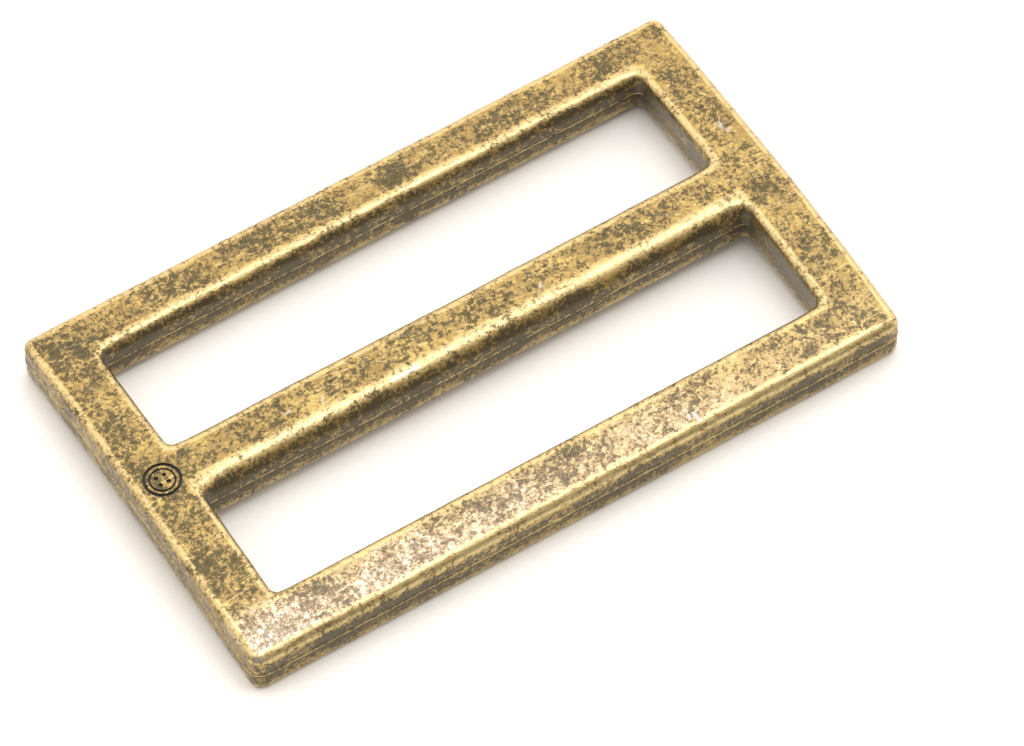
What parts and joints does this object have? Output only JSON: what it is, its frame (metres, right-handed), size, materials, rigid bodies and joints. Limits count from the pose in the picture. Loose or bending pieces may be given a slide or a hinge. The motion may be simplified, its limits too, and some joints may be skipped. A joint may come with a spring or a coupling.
{
  "type": "strap slider",
  "caption": "Slightly arched rectangular strap slider with a fixed centre bar across its opening, antique brass finish, for 38 mm webbing.",
  "frame": {"origin": "middle of the underside, level with the two long edges that the slider rests on", "axes": "+X along the slots and the centre bar, +Y across the slots, +Z out of the shown face"},
  "size_m": [0.0454, 0.0276, 0.0037],
  "materials": {
    "antique_brass": "antique brass plating, darkened in the hollows and rubbed bright along the edges"
  },
  "bodies": {
    "root": {"slider_casting": "antique_brass"}
  },
  "joints": []
}
